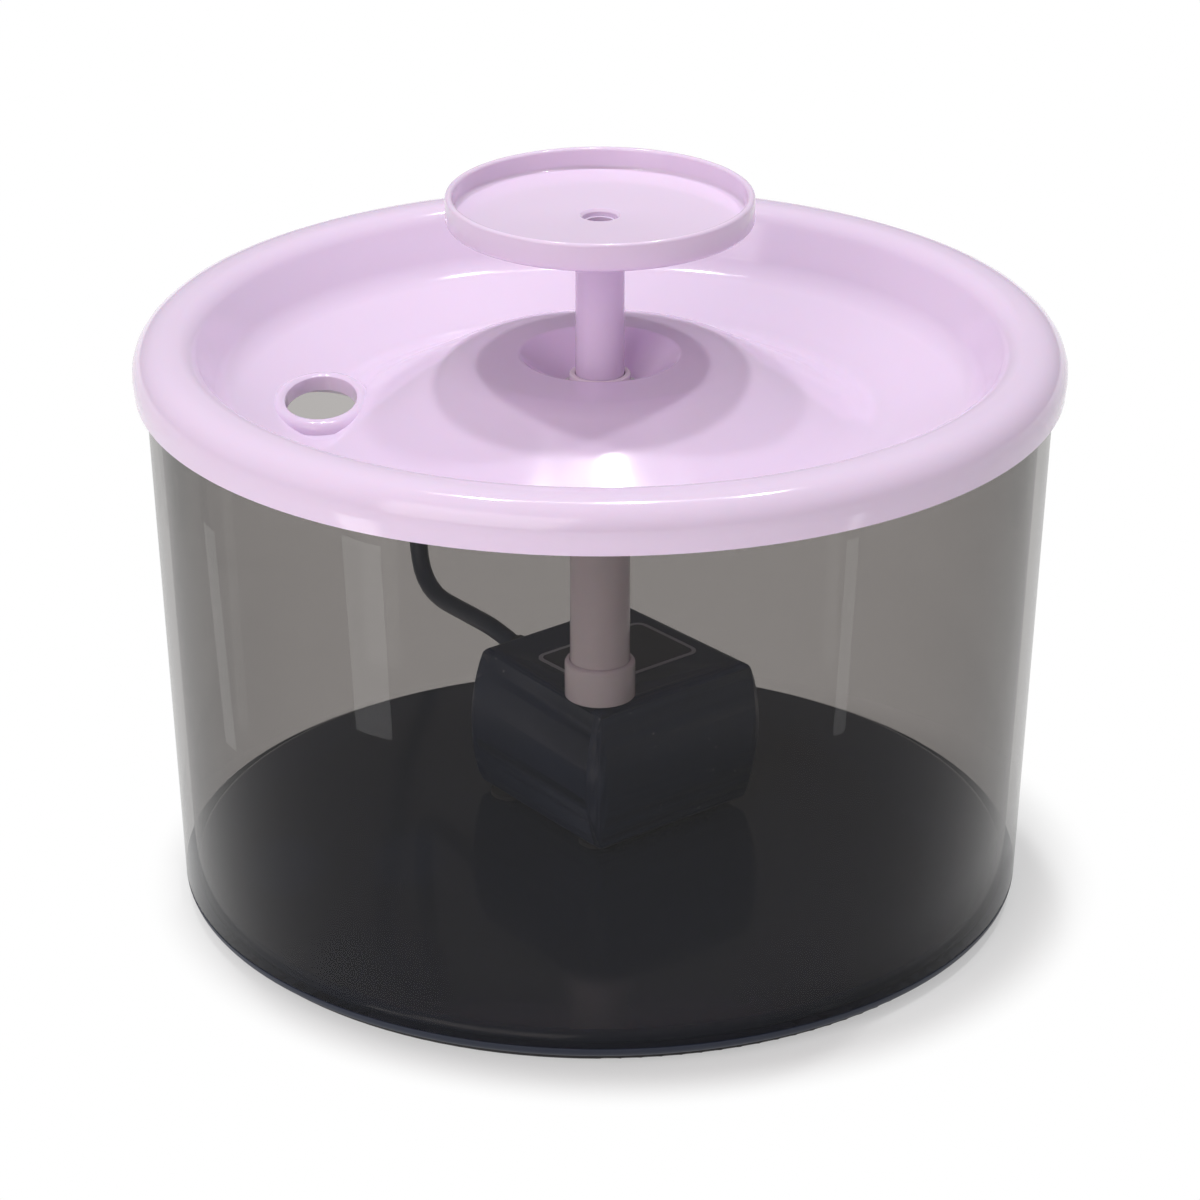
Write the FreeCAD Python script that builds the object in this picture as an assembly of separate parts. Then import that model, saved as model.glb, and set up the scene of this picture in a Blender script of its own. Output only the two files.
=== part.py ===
"""Pet water fountain: a clear tank with a rimmed lid, a raised drinking dish on a stem, and a small pump.

Millimetres, +Z up. The origin is the centre of the underside, on the table. The pump's outlet, the riser
tube, the lid's hole and the dish all stand on the Z axis.
"""

import FreeCAD
import Part
import math
import os

V = FreeCAD.Vector
UP = V(0, 0, 1)
AXIS = V(0, 0, 0)

# Tank: a conical clear wall, bonded on a black base plate with a rubber foot ring under it
tank_height = 117.0
tank_wall_t = 2.4
tank_foot_r = 88.0
tank_draft_deg = 2.26
wall_foot_z = 4.0
wall_edge_round = 0.8
bond_gap = 0.1
foot_ring_t = 1.5
foot_ring_w = 5.0
foot_ring_round = 0.5
base_floor_z = 6.1
base_floor_t = 2.7
base_edge_round = 2.0
base_corner_round = 2.4
base_tuck = 3.0
base_skirt_w = 8.0

# Cord notch in the tank's rim
cord_d = 4.0
notch_azimuth_deg = 119.0
notch_clearance = 0.5
notch_depth = 12.4

# Lid: one shell of even thickness, with a rolled rim, a trough, a mound and a crater round the riser
lid_t = 1.9
skirt_drop = 5.5
skirt_clearance = 0.35
skirt_flare = 1.0
rim_rise = 4.5
rim_width = 12.5
rim_round = 6.5
rim_inner_round = 5.0
rim_wall_r = 77.0
rim_wall_z = 108.5
trough_r = 58.0
trough_z = 101.3
mound_foot_r = 50.5
mound_foot_z = 103.8
mound_top_r = 29.0
mound_top_z = 115.4
crown_r = 17.5
crown_rise = 0.8
crater_r = 12.3
crater_drop = 2.8
drain_gap = 1.7
drain_drop = 4.4
rib_t = 1.6
rib_clearance = 0.6
rib_drop = 4.0
seat_rib_count = 12

# Oval return hole in the trough, with a raised lip
oval_x = -57.3
oval_y = 4.5
oval_half_x = 7.25
oval_half_y = 12.25
oval_lip_w = 1.6
oval_lip_rise = 3.7
oval_lip_round = 0.6
oval_flare = 2.2
oval_skirt = 1.0

# Dish and its stem
dish_r = 31.15
dish_wall_t = 1.5
dish_depth = 4.4
dish_floor_t = 1.5
dish_top_z = 150.1
dish_hole_r = 3.5
dish_round = 1.2
stem_r = 5.0
stem_bore_r = 2.9
stem_foot_z = 95.0
stem_shoulder_r = 6.2
stem_shoulder_h = 3.0

# Riser tube and the collar that holds it on the pump
riser_r = 6.3
riser_bore_r = 3.9
riser_top_z = 112.0
riser_fit = 0.08
collar_r = 7.44
collar_h = 8.3
collar_seam = 0.2
collar_round = 1.0
stub_r = 4.4
stub_h = 2.8
stub_fit = 0.08
ledge_gap = 0.2

# Pump: a barrel-sided box that stands on four rubber feet, turned so that its corner faces the front
pump_turn_deg = 39.5
pump_w = 39.5
pump_l = 42.5
pump_h = 32.4
pump_foot_t = 1.0
side_bulge = 1.8
end_bulge = 1.0
edge_round = 1.6
corner_round = 4.0
outlet_inset = 7.6
outlet_bore_r = 2.9
pump_wall = 2.0
cover_depth = 3.0
cover_front_t = 1.4
cover_half_w = 15.5
cover_half_h = 10.5
rear_cover_t = 4.3
intake_slots = 6
intake_slot_w = 2.4
intake_pitch = 4.4
intake_slot_depth = 1.5

# Pump wet end, with depths measured from the pump's front face along the rotor axis
rotor_height = 15.4
chamber_r = 13.5
chamber_back = 11.0
plate_r = 15.2
plate_t = 1.0
seal_t = 0.5
seal_w = 1.2
plate_fit = 0.05
inlet_r = 6.0
inlet_hub_r = 2.9
spoke_w = 1.6
spokes = 3
well_r = 6.8
well_wall = 1.2
well_back = 26.6
bush_r = 2.6
bush_l = 2.0
front_bush_r = 1.9
front_bush_l = 1.6
shaft_r = 1.15
shaft_tip = 3.4
shaft_fit = 0.05
impeller_r = 10.5
impeller_front = 5.2
impeller_disc_t = 0.8
impeller_back = 10.4
impeller_hub_r = 2.6
blades = 6
blade_turn_deg = 38.0
blade_width_deg = 9.0
magnet_r = 6.0
magnet_l = 14.0
rotor_run = 0.2

# Pump motor: a laminated core with one wound bobbin, and the driver board above it
core_clearance = 0.3
core_leg_w = 6.0
core_h = 12.0
core_front = 14.0
core_back = 36.4
yoke_t = 4.0
bobbin_half_l = 7.0
bobbin_t = 0.5
bobbin_flange_t = 0.8
winding_t = 1.0
board_w = 24.0
board_l = 15.0
board_t = 1.2
board_drop = 4.0

# Pump feet, gland
foot_r = 4.0
foot_peg_r = 1.5
foot_peg_l = 1.2
foot_cup = 0.4
foot_x = 14.0
foot_y = 15.0
gland_x = -5.5
gland_z = 35.2
gland_r = 3.4
gland_neck_r = 2.6
gland_flange_t = 1.5
gland_fit = 0.05
cord_in_gland = 3.0

# Cord, coil and plug. The coil starts at its left side and runs clockwise, seen from above
coil_x = -6.0
coil_y = 214.0
coil_outer_r = 30.5
coil_pitch = 4.5
coil_layer = 4.5
coil_floor = 2.1
coil_in_halves = 6
coil_out_halves = 7
arc_share = 0.45
plug_y = 262.0
plug_rear_x = -8.0
plug_z = 4.1
plug_l = 27.0
plug_w = 15.4
plug_t = 8.0
plug_round = 2.0
relief_l = 7.0
relief_r = 2.9
shell_w = 12.0
shell_t = 4.5
shell_l = 12.0
shell_wall = 0.3
tongue_t = 1.8
contact_w = 1.2
contact_t = 0.3
contacts = 4

# Derived sizes
draft = math.tan(math.radians(tank_draft_deg))
pump_foot_z = base_floor_z + pump_foot_t
pump_top_z = pump_foot_z + pump_h
rotor_z = pump_foot_z + rotor_height
front_y = -pump_l / 2
plate_front = cover_depth
seal_front = plate_front + plate_t
chamber_front = seal_front + seal_t
rear_split = pump_l - rear_cover_t
magnet_front = chamber_back + rotor_run
collar_z = pump_top_z + collar_seam
stub_top_z = pump_top_z + stub_h
ledge_z = stub_top_z + ledge_gap
dish_under_z = dish_top_z - dish_depth - dish_floor_t
turn = math.radians(pump_turn_deg)
pump_u = V(math.cos(turn), math.sin(turn), 0)
pump_v = V(-math.sin(turn), math.cos(turn), 0)
pump_centre = pump_u * (pump_w / 2 - outlet_inset) + pump_v * (pump_l / 2 - outlet_inset)
outlet_x = outlet_inset - pump_w / 2
outlet_y = outlet_inset - pump_l / 2


def tank_outer_r(z):
    return tank_foot_r + (z - wall_foot_z) * draft


def notch_floor_z():
    return tank_height - notch_depth


def unit(vector):
    return vector / vector.Length


def line(a, b):
    return Part.LineSegment(a, b).toShape()


def arc(a, middle, b):
    return Part.Arc(a, middle, b).toShape()


def corner_arc(before, here, after, radius):
    """First, middle and last point of the arc that rounds the corner at here."""
    back = unit(before - here)
    on = unit(after - here)
    half = back.getAngle(on) / 2
    reach = radius / math.tan(half)
    middle = here + unit(back + on) * (radius / math.sin(half) - radius)
    return here + back * reach, middle, here + on * reach


def rounded_outline(corners):
    """Closed outline in the XZ plane through (r, z, radius) corners; a radius of 0 leaves a sharp corner."""
    points = [V(r, 0, z) for r, z, _ in corners]
    count = len(points)
    spans = []
    for i, (_, _, radius) in enumerate(corners):
        here = points[i]
        if radius:
            spans.append(corner_arc(points[i - 1], here, points[(i + 1) % count], radius))
        else:
            spans.append((here, None, here))
    edges = []
    for i, (first, middle, last) in enumerate(spans):
        if middle:
            edges.append(arc(first, middle, last))
        following = spans[(i + 1) % count][0]
        if (following - last).Length > 1e-6:
            edges.append(line(last, following))
    return edges


def turned(corners):
    """Solid of revolution about Z of a rounded closed outline."""
    wire = Part.Wire(Part.__sortEdges__(rounded_outline(corners)))
    return Part.Face(wire).revolve(AXIS, UP, 360)


def inset(corners, t):
    """Open line of (r, z, radius) corners moved t to the left of its run, with concentric roundings."""
    points = [(r, z) for r, z, _ in corners]
    normals = []
    for (r0, z0), (r1, z1) in zip(points, points[1:]):
        size = math.hypot(r1 - r0, z1 - z0)
        normals.append((-(z1 - z0) / size, (r1 - r0) / size))
    moved = [(points[0][0] + normals[0][0] * t, points[0][1] + normals[0][1] * t, 0)]
    for (r, z, radius), (ar, az), (br, bz) in zip(corners[1:], normals, normals[1:]):
        share = t / (1 + ar * br + az * bz)
        left_turn = ar * bz - az * br > 0
        kept = radius - t if left_turn else radius + t
        moved.append((r + (ar + br) * share, z + (az + bz) * share, kept))
    end_r, end_z = points[-1]
    moved.append((end_r + normals[-1][0] * t, end_z + normals[-1][1] * t, 0))
    return moved


def block(low, high):
    """Box between two opposite corners."""
    size = V(*high) - V(*low)
    return Part.makeBox(size.x, size.y, size.z, V(*low))


def tube(outer_r, inner_r, low, high):
    outer = Part.makeCylinder(outer_r, high - low, V(0, 0, low))
    return outer.cut(Part.makeCylinder(inner_r, high - low, V(0, 0, low)))


def ellipse_prism(half_x, half_y, low, high):
    """Upright oval prism about the return hole's centre."""
    centre = V(oval_x, oval_y, low)
    curve = Part.Ellipse(centre + V(0, half_y, 0), centre + V(half_x, 0, 0), centre)
    face = Part.Face(Part.Wire(curve.toShape()))
    return face.extrude(V(0, 0, high - low))


def ellipse_wire(half_x, half_y, z):
    centre = V(oval_x, oval_y, z)
    return Part.Wire(Part.Ellipse(centre + V(0, half_y, 0), centre + V(half_x, 0, 0), centre).toShape())


def foot_ring():
    """Flat rubber ring bonded under the base plate's skirt."""
    outer = tank_foot_r - base_tuck
    inner = outer - foot_ring_w
    return turned([
        (inner, 0, foot_ring_round),
        (outer, 0, foot_ring_round),
        (outer, foot_ring_t, 0),
        (inner, foot_ring_t, 0),
    ])


def base_plate():
    """Raised floor with a rounded edge, a flange under the wall and a skirt down to the foot ring."""
    inner = tank_outer_r(wall_foot_z) - tank_wall_t - bond_gap
    skirt_in = tank_foot_r - base_tuck - base_skirt_w
    return turned([
        (0, base_floor_z - base_floor_t, 0),
        (skirt_in, base_floor_z - base_floor_t, 0),
        (skirt_in, foot_ring_t, 0),
        (tank_foot_r, foot_ring_t, base_corner_round),
        (tank_foot_r, wall_foot_z, 0),
        (inner, wall_foot_z, 0),
        (inner, base_floor_z, base_edge_round),
        (0, base_floor_z, 0),
    ])


def tank_wall():
    """Clear drafted wall, open at both ends, with the cord notch cut in its rim."""
    low, high = tank_outer_r(wall_foot_z), tank_outer_r(tank_height)
    wall = turned([
        (low - tank_wall_t, wall_foot_z, 0),
        (low, wall_foot_z, 0),
        (high, tank_height, wall_edge_round),
        (high - tank_wall_t, tank_height, wall_edge_round),
    ])
    half = cord_d / 2 + notch_clearance
    centre_z = notch_floor_z() + half
    reach = high + tank_wall_t
    slot = block((high - 3 * tank_wall_t, -half, centre_z), (reach, half, tank_height + 1))
    round_end = Part.makeCylinder(half, reach - high + 3 * tank_wall_t,
                                  V(high - 3 * tank_wall_t, 0, centre_z), V(1, 0, 0))
    notch = slot.fuse(round_end)
    notch.rotate(AXIS, UP, notch_azimuth_deg)
    return wall.cut(notch)


def lid_top_line():
    """The lid's upper side from the skirt's foot over the rim, trough and mound to the crater's hole."""
    skirt_z = tank_height - skirt_drop
    skirt_r = tank_outer_r(skirt_z) + skirt_clearance + lid_t
    rim_r = skirt_r + skirt_flare
    rim_z = tank_height + rim_rise
    crown_z = mound_top_z + crown_rise
    return [
        (skirt_r, skirt_z, 0),
        (rim_r, rim_z, rim_round),
        (rim_r - rim_width, rim_z, rim_inner_round),
        (rim_wall_r, rim_wall_z, 8.0),
        (trough_r, trough_z, 10.0),
        (mound_foot_r, mound_foot_z, 14.0),
        (mound_top_r, mound_top_z, 13.0),
        (crown_r, crown_z, 5.0),
        (crater_r, crown_z - crater_drop, 2.5),
        (riser_r + drain_gap, crown_z - crater_drop - drain_drop, 0),
    ]


def lid_ribs():
    """Locating ring inside the tank's rim, and short ribs that sit on the rim's top."""
    wall_in = tank_outer_r(tank_height) - tank_wall_t
    ring_out = wall_in - rib_clearance
    top = tank_height + rim_rise - lid_t / 2
    ring = tube(ring_out, ring_out - rib_t, tank_height - rib_drop, top)
    seat_out = tank_outer_r(tank_height) + skirt_clearance
    for i in range(seat_rib_count):
        rib = block((ring_out - rib_t / 2, -rib_t / 2, tank_height), (seat_out, rib_t / 2, top - rim_rise / 4))
        rib.rotate(AXIS, UP, 360 * (i + 0.5) / seat_rib_count)
        ring = ring.fuse(rib)
    return ring


def lid():
    """One moulded shell with the return hole's raised lip and the ribs under its rim."""
    top = lid_top_line()
    under = inset(top, lid_t)
    shell = turned(top + under[::-1])
    lip_z = trough_z + oval_lip_rise
    lip = ellipse_prism(oval_half_x + oval_lip_w, oval_half_y + oval_lip_w,
                        trough_z - lid_t - oval_skirt, lip_z)
    lip = lip.makeFillet(oval_lip_round, [e for e in lip.Edges if e.BoundBox.ZMin > lip_z - 0.01])
    flare = Part.makeLoft([
        ellipse_wire(oval_half_x + oval_lip_w + oval_flare, oval_half_y + oval_lip_w + oval_flare,
                     trough_z - lid_t / 2),
        ellipse_wire(oval_half_x + oval_lip_w, oval_half_y + oval_lip_w, lip_z - oval_lip_rise / 3),
    ], True, True)
    body = shell.fuse([lip, flare, lid_ribs()])
    hole = ellipse_prism(oval_half_x, oval_half_y, trough_z - 10, lip_z + 10)
    return body.cut(hole).removeSplitter()


def fountain_dish():
    """Shallow round dish with an upright rim and a centre hole that the water rises through."""
    floor_z = dish_top_z - dish_depth
    inner = dish_r - dish_wall_t
    return turned([
        (dish_hole_r, dish_under_z, 0),
        (dish_r, dish_under_z, dish_round),
        (dish_r, dish_top_z, dish_wall_t * 0.45),
        (inner, dish_top_z, dish_wall_t * 0.45),
        (inner, floor_z, dish_round / 2),
        (dish_hole_r, floor_z, dish_round / 2),
    ])


def fountain_stem():
    """Tube under the dish that plugs into the riser, with a shoulder under the dish's floor."""
    return turned([
        (stem_bore_r, stem_foot_z, 0),
        (stem_r, stem_foot_z, 0.4),
        (stem_r, dish_under_z - stem_shoulder_h, 0.8),
        (stem_shoulder_r, dish_under_z - stem_shoulder_h / 2, 0.8),
        (stem_shoulder_r, dish_under_z, 0),
        (stem_bore_r, dish_under_z, 0),
    ])


def riser_tube():
    """Tube from the collar up through the lid, with a wider socket at its top for the stem."""
    socket_r = stem_r + riser_fit
    return turned([
        (riser_bore_r, ledge_z, 0),
        (riser_r, ledge_z, 0.3),
        (riser_r, riser_top_z, 0.4),
        (socket_r, riser_top_z, 0.3),
        (socket_r, stem_foot_z, 0),
        (riser_bore_r, stem_foot_z, 0),
    ])


def pump_outlet_collar():
    """Collar pushed on the pump's outlet stub; the riser stands on its inner ledge."""
    top = collar_z + collar_h
    socket_r = riser_r + riser_fit
    return turned([
        (stub_r + stub_fit, collar_z, 0),
        (collar_r, collar_z, 0),
        (collar_r, top, collar_round),
        (socket_r, top, 0),
        (socket_r, ledge_z, 0),
        (stub_r + stub_fit, ledge_z, 0),
    ])


def in_place(shape):
    """Turn a pump piece to its real heading and move it under the Z axis."""
    shape.rotate(AXIS, UP, pump_turn_deg)
    shape.translate(pump_centre)
    return shape


def on_rotor_axis(shape):
    """Lay a piece that was made along Z on the rotor's axis, its z the depth from the pump's front."""
    shape.rotate(AXIS, V(1, 0, 0), -90)
    shape.translate(V(0, front_y, rotor_z))
    return shape


def bore_at_depth(radius, low, high):
    return on_rotor_axis(Part.makeCylinder(radius, high - low, V(0, 0, low)))


def barrel_prism(half_width, bulge, length, along_y):
    """Prism with bulged sides and rounded long edges, lying along the pump's length or width."""
    low, high = pump_foot_z, pump_top_z
    foot = half_width - bulge
    middle = (low + high) / 2
    corners = [V(-foot, 0, low), V(foot, 0, low), V(foot, 0, high), V(-foot, 0, high)]
    edges = [
        line(corners[0], corners[1]),
        arc(corners[1], V(half_width, 0, middle), corners[2]),
        line(corners[2], corners[3]),
        arc(corners[3], V(-half_width, 0, middle), corners[0]),
    ]
    solid = Part.Face(Part.Wire(edges)).extrude(V(0, length, 0))
    long_edges = [e for e in solid.Edges if abs(e.Length - length) < 0.01 and e.BoundBox.YLength > length / 2]
    solid = solid.makeFillet(edge_round, long_edges)
    solid.translate(V(0, -length / 2, 0))
    if not along_y:
        solid.rotate(AXIS, UP, 90)
    return solid


def pump_envelope():
    """Outer form of the pump: two crossed barrel prisms inside a box with rounded upright corners."""
    sides = barrel_prism(pump_w / 2, side_bulge, pump_l + 4, True)
    ends = barrel_prism(pump_l / 2, end_bulge, pump_w + 4, False)
    upright = block((-pump_w / 2, -pump_l / 2, pump_foot_z), (pump_w / 2, pump_l / 2, pump_top_z))
    corners = [e for e in upright.Edges if e.BoundBox.ZLength > pump_h / 2]
    upright = upright.makeFillet(corner_round, corners)
    return sides.common(ends).common(upright)


def slab(front, back):
    """Everything of the pump between two depths from its front face."""
    return block((-pump_w, front_y + front, 0), (pump_w, front_y + back, 2 * pump_top_z))


def pump_housing(envelope):
    """Housing with the impeller chamber, rotor well, outlet stub and the motor space behind."""
    body = envelope.common(slab(cover_depth, rear_split))
    room_half = pump_w / 2 - side_bulge - pump_wall
    room_front = chamber_back + pump_wall
    room = block((-room_half, front_y + room_front, pump_foot_z + pump_wall),
                 (room_half, front_y + rear_split, pump_top_z - pump_wall))
    body = body.cut(room)
    well_end = well_back + bush_l + well_wall
    body = body.fuse(bore_at_depth(well_r + well_wall, room_front - pump_wall / 2, well_end))
    body = body.cut(bore_at_depth(plate_r + plate_fit, cover_depth, chamber_front))
    body = body.cut(bore_at_depth(chamber_r, chamber_front, chamber_back))
    body = body.cut(bore_at_depth(well_r, chamber_back, well_back))
    body = body.cut(bore_at_depth(bush_r + plate_fit, well_back, well_back + bush_l))
    body = body.fuse(Part.makeCylinder(stub_r, stub_h + pump_wall,
                                       V(outlet_x, outlet_y, pump_top_z - pump_wall)))
    body = body.cut(Part.makeCylinder(outlet_bore_r, stub_top_z - rotor_z + 1, V(outlet_x, outlet_y, rotor_z)))
    for x, y in foot_spots():
        body = body.cut(Part.makeCylinder(foot_peg_r, foot_peg_l, V(x, y, pump_foot_z)))
    return body.removeSplitter()


def rear_cover(envelope):
    """Back of the pump's case, with the hole for the cord's gland."""
    body = envelope.common(slab(rear_split, pump_l))
    depth = pump_l + gland_flange_t
    return body.cut(Part.makeCylinder(gland_neck_r + gland_fit, depth, V(gland_x, 0, gland_z), V(0, 1, 0)))


def pump_cover(envelope):
    """Front cap with a row of intake notches in its far side and in its underside."""
    body = envelope.common(slab(0, cover_depth))
    middle = (pump_foot_z + pump_top_z) / 2
    body = body.cut(block((-cover_half_w, front_y + cover_front_t, middle - cover_half_h),
                          (cover_half_w, front_y + cover_depth, middle + cover_half_h)))
    start = front_y + cover_depth - intake_slot_depth
    for i in range(intake_slots):
        shift = (i - (intake_slots - 1) / 2) * intake_pitch
        low = shift - intake_slot_w / 2
        side_low = middle + low * cover_half_h / cover_half_w
        body = body.cut(block((cover_half_w - 1, start, side_low),
                              (pump_w, front_y + pump_l, side_low + intake_slot_w * 0.75)))
        body = body.cut(block((low, start, 0), (low + intake_slot_w, front_y + pump_l, middle)))
    return body


def chamber_plate():
    """Disc over the impeller chamber, with a spoked inlet and a hub that holds the shaft's front bush."""
    plate = tube(plate_r, inlet_r, plate_front, seal_front)
    hub_back = shaft_tip + front_bush_l / 2
    hub = Part.makeCylinder(inlet_hub_r, hub_back - plate_front, V(0, 0, plate_front))
    for i in range(spokes):
        spoke = block((0, -spoke_w / 2, plate_front), (inlet_r + 1, spoke_w / 2, seal_front))
        spoke.rotate(AXIS, UP, 360 * i / spokes)
        hub = hub.fuse(spoke)
    socket = Part.makeCylinder(front_bush_r + plate_fit, front_bush_l,
                               V(0, 0, hub_back - front_bush_l + plate_fit))
    return on_rotor_axis(plate.fuse(hub).cut(socket).removeSplitter())


def chamber_seal():
    return on_rotor_axis(tube(plate_r, plate_r - seal_w, seal_front, chamber_front))


def bush(outer_r, front, back, shaft_from, shaft_to):
    """Rubber cup that holds one end of the shaft."""
    cup = Part.makeCylinder(outer_r, back - front, V(0, 0, front))
    socket = Part.makeCylinder(shaft_r, shaft_to - shaft_from, V(0, 0, shaft_from))
    return on_rotor_axis(cup.cut(socket))


def front_bush():
    hub_back = shaft_tip + front_bush_l / 2
    front = hub_back - front_bush_l + plate_fit
    return bush(front_bush_r, front, hub_back, shaft_tip, hub_back)


def rear_bush():
    return bush(bush_r, well_back, well_back + bush_l, well_back, well_back + bush_l / 2)


def rotor_shaft():
    end = well_back + bush_l / 2
    return on_rotor_axis(Part.makeCylinder(shaft_r, end - shaft_tip, V(0, 0, shaft_tip)))


def impeller_blade():
    """One swept blade between two turned copies of the same arc, thin at the hub and thick at the tip."""
    sweep = math.radians(blade_turn_deg)
    tip_r = impeller_r - rotor_run
    hub_r = impeller_hub_r - rotor_run
    middle_r = (tip_r + hub_r) / 2
    points = [
        V(hub_r, 0, 0),
        V(middle_r * math.cos(sweep * 0.35), middle_r * math.sin(sweep * 0.35), 0),
        V(tip_r * math.cos(sweep), tip_r * math.sin(sweep), 0),
    ]
    turn_step = FreeCAD.Rotation(UP, blade_width_deg)
    others = [turn_step.multVec(p) for p in points]
    outline = Part.Wire([
        arc(*points),
        line(points[2], others[2]),
        arc(*others[::-1]),
        line(others[0], points[0]),
    ])
    blade = Part.Face(outline).extrude(V(0, 0, impeller_back - impeller_disc_t / 2 - impeller_front))
    blade.translate(V(0, 0, impeller_front))
    return blade


def impeller():
    """Open impeller: swept blades on a back disc, with a hub that carries the magnet."""
    wheel = Part.makeCylinder(impeller_r, impeller_disc_t, V(0, 0, impeller_back - impeller_disc_t))
    wheel = wheel.fuse(Part.makeCylinder(impeller_hub_r, magnet_front - impeller_front, V(0, 0, impeller_front)))
    for i in range(blades):
        blade = impeller_blade()
        blade.rotate(AXIS, UP, 360 * i / blades)
        wheel = wheel.fuse(blade)
    wheel = wheel.cut(Part.makeCylinder(shaft_r + shaft_fit, pump_l, AXIS))
    return on_rotor_axis(wheel.removeSplitter())


def rotor_magnet():
    return on_rotor_axis(tube(magnet_r, shaft_r + shaft_fit, magnet_front, magnet_front + magnet_l))


def core_span():
    """Inner and outer half widths of the core's legs."""
    inner = well_r + well_wall + core_clearance
    return inner, inner + core_leg_w


def stator_core():
    """U-shaped stack of laminations: a leg on each side of the rotor well and a yoke behind it."""
    inner, outer = core_span()
    yoke_front = core_back - yoke_t
    outline = [(-outer, core_front), (-inner, core_front), (-inner, yoke_front), (inner, yoke_front),
               (inner, core_front), (outer, core_front), (outer, core_back), (-outer, core_back)]
    points = [V(x, front_y + depth, rotor_z - core_h / 2) for x, depth in outline]
    return Part.Face(Part.makePolygon(points + points[:1])).extrude(V(0, 0, core_h))


def yoke_sleeve(half_l, inner_off, outer_off):
    """Square sleeve round the core's yoke."""
    front, back = front_y + core_back - yoke_t, front_y + core_back
    low, high = rotor_z - core_h / 2, rotor_z + core_h / 2
    outer = block((-half_l, front - outer_off, low - outer_off), (half_l, back + outer_off, high + outer_off))
    inner = block((-half_l, front - inner_off, low - inner_off), (half_l, back + inner_off, high + inner_off))
    return outer.cut(inner)


def winding_bobbin():
    """Plastic sleeve on the yoke with a flange at each end."""
    sleeve = yoke_sleeve(bobbin_half_l, 0, bobbin_t)
    for side in (-1, 1):
        flange = yoke_sleeve(bobbin_flange_t / 2, 0, bobbin_t + winding_t)
        flange.translate(V(side * (bobbin_half_l - bobbin_flange_t / 2), 0, 0))
        sleeve = sleeve.fuse(flange)
    return sleeve.removeSplitter()


def motor_winding():
    return yoke_sleeve(bobbin_half_l - bobbin_flange_t, bobbin_t, bobbin_t + winding_t)


def driver_board():
    """Flat circuit board that rests on the core's bobbin side, under the case's top."""
    top = pump_top_z - board_drop
    back = front_y + rear_split
    return block((-board_w / 2, back - board_l, top - board_t), (board_w / 2, back, top))


def foot_spots():
    return [(x, y) for y in (-foot_y, foot_y) for x in (-foot_x, foot_x)]


def pump_foot(x, y):
    """Round rubber foot, hollow underneath, with a peg in the case's underside."""
    foot = turned([
        (0, base_floor_z + foot_cup, 0),
        (foot_r - 1.2, base_floor_z + foot_cup, 0),
        (foot_r - 0.8, base_floor_z, 0),
        (foot_r, base_floor_z, 0.3),
        (foot_r, pump_foot_z, 0),
        (foot_peg_r, pump_foot_z, 0),
        (foot_peg_r, pump_foot_z + foot_peg_l, 0),
        (0, pump_foot_z + foot_peg_l, 0),
    ])
    foot.translate(V(x, y, 0))
    return foot


def gland_mouth():
    """Where the cord leaves the gland, in the part's frame."""
    y = pump_l / 2 + gland_flange_t
    return pump_centre + pump_u * gland_x + pump_v * y + V(0, 0, gland_z)


def cord_gland():
    """Rubber gland through the rear cover, flanged on both sides, that the cord comes out of."""
    inside = front_y + rear_split
    outside = pump_l / 2
    gland = Part.makeCylinder(gland_neck_r, outside - inside, V(0, inside, 0), V(0, 1, 0))
    gland = gland.fuse(Part.makeCylinder(gland_r, gland_flange_t, V(0, outside, 0), V(0, 1, 0)))
    gland = gland.cut(Part.makeCylinder(cord_d / 2, pump_l, V(0, 0, 0), V(0, 1, 0)))
    gland.translate(V(gland_x, 0, gland_z))
    return gland


def pump_cord_route():
    """The lead from the gland up the tank's wall, over the rim notch and down to the coil."""
    mouth = gland_mouth()
    return [
        mouth - pump_v * cord_in_gland,
        mouth + pump_v * 6.0,
        V(-29.5, 49.0, 36.6),
        V(-40.1, 72.3, 37.0),
        V(-39.7, 71.5, 74.0),
        V(-40.1, 72.3, 109.0),
        V(-54.0, 98.0, 108.4),
        V(-53.5, 114.0, 90.0),
        V(-49.5, 126.0, 64.0),
        V(-44.5, 139.0, 37.0),
        V(-40.0, 156.0, 13.0),
        V(-36.8, 180.0, coil_floor),
        coil_station(0)[0],
    ]


def plug_lead_route():
    """The short lead from the coil's last turn to the plug."""
    end = coil_station(coil_in_halves + 1 + coil_out_halves)[0]
    return [
        end,
        end + V(0, 9.0, 0),
        V(-39.3, 238.0, 5.0),
        V(-35.0, 254.0, plug_z),
        V(-21.0, plug_y + 0.4, plug_z),
        V(plug_rear_x, plug_y, plug_z),
    ]


def rounded_route(points):
    """Straight runs joined by tangent arcs, and each arc's radius."""
    edges = []
    radii = []
    start = points[0]
    for before, here, after in zip(points, points[1:], points[2:]):
        half_turn = (here - before).getAngle(after - here) / 2
        run = min((here - before).Length, (after - here).Length)
        radius = arc_share * run / math.tan(half_turn)
        first, middle, last = corner_arc(before, here, after, radius)
        edges.append(line(start, first))
        edges.append(arc(first, middle, last))
        radii.append(radius)
        start = last
    edges.append(line(start, points[-1]))
    return edges, radii


def coil_station(k):
    """Point and heading where half turn k of the coil starts. Even ones are on the left side."""
    radius = coil_outer_r - min(k, coil_in_halves + 1) * coil_pitch / 2
    height = coil_floor
    if k > coil_in_halves:
        height = coil_floor + coil_layer
    if k > coil_in_halves + 1:
        radius += coil_pitch / 2 + (k - coil_in_halves - 1) * coil_pitch / 2
    side = -1 if k % 2 == 0 else 1
    return V(coil_x + side * radius, coil_y, height), V(0, -side, 0)


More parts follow.
